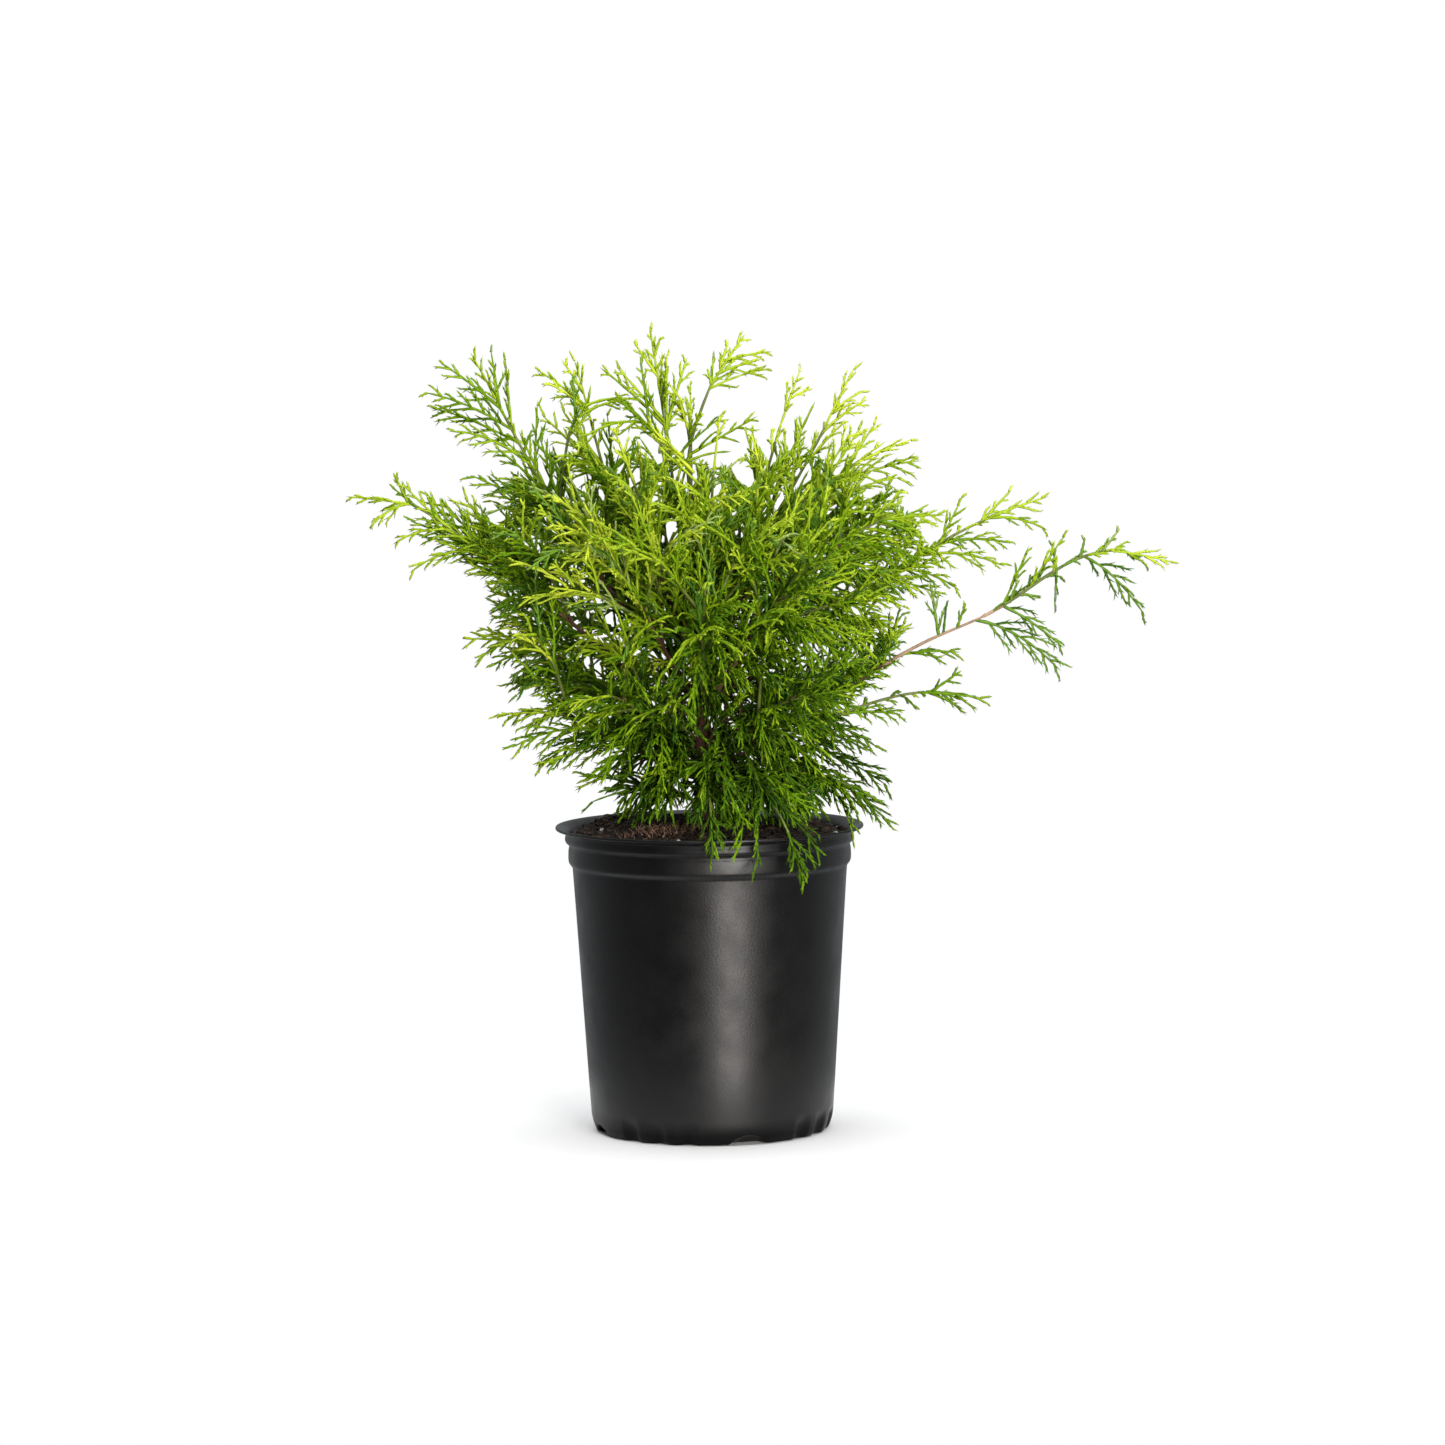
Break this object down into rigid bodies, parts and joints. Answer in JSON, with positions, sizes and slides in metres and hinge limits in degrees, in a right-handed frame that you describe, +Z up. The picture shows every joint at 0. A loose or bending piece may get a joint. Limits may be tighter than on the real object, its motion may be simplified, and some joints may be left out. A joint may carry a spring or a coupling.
{
  "type": "potted gold mop threadleaf false cypress",
  "caption": "Young golden threadleaf false cypress with arching thread-like sprays, standing in a black nursery pot filled with soil.",
  "frame": {"origin": "middle of the flat underside of the pot", "axes": "+Z up along the pot's axis, -Y towards the front of the picture, +X to its right"},
  "size_m": [0.4464, 0.2347, 0.4321],
  "materials": {
    "pot": "satin black moulded polyethylene, slightly scuffed",
    "soil": "moist potting mix of composted bark with white perlite grains",
    "bark": "thin reddish brown flaking bark",
    "foliage": "thread-like scale foliage, golden yellow-green at the tips and deep green inside"
  },
  "bodies": {
    "root": {"bough_arching_right": "bark", "bough_bright_front_left": "bark", "bough_fan_left": "bark", "bough_long_left": "bark", "bough_long_right": "bark", "bough_low_right": "bark", "bough_middle_back": "bark", "bough_middle_back_left": "bark", "bough_middle_back_right": "bark", "bough_middle_front": "bark", "bough_middle_front_right": "bark", "bough_middle_left": "bark", "bough_reaching_right": "bark", "bough_shoulder_right": "bark", "bough_upper_back": "bark", "bough_upper_back_left": "bark", "bough_upper_back_right": "bark", "bough_upper_front": "bark", "bough_upper_front_left": "bark", "bough_upper_left": "bark", "bough_upper_mid": "bark", "bough_upper_right": "bark", "bough_upper_right_front": "bark", "foliage_arching_right": "foliage", "foliage_bright_front_left": "foliage", "foliage_crown_top": "foliage", "foliage_fan_left": "foliage", "foliage_long_left": "foliage", "foliage_long_right": "foliage", "foliage_low_back_left": "foliage", "foliage_low_back_right": "foliage", "foliage_low_front_left": "foliage", "foliage_low_front_right": "foliage", "foliage_low_left": "foliage", "foliage_low_right": "foliage", "foliage_middle_back": "foliage", "foliage_middle_back_left": "foliage", "foliage_middle_back_right": "foliage", "foliage_middle_front": "foliage", "foliage_middle_front_right": "foliage", "foliage_middle_left": "foliage", "foliage_reaching_right": "foliage", "foliage_rim_back": "foliage", "foliage_rim_front": "foliage", "foliage_rim_front_right": "foliage", "foliage_rim_left": "foliage", "foliage_rim_right": "foliage", "foliage_shoulder_right": "foliage", "foliage_upper_back": "foliage", "foliage_upper_back_left": "foliage", "foliage_upper_back_right": "foliage", "foliage_upper_front": "foliage", "foliage_upper_front_left": "foliage", "foliage_upper_left": "foliage", "foliage_upper_mid": "foliage", "foliage_upper_right": "foliage", "foliage_upper_right_front": "foliage", "pot": "pot", "soil": "soil", "trunk": "bark"}
  },
  "joints": []
}
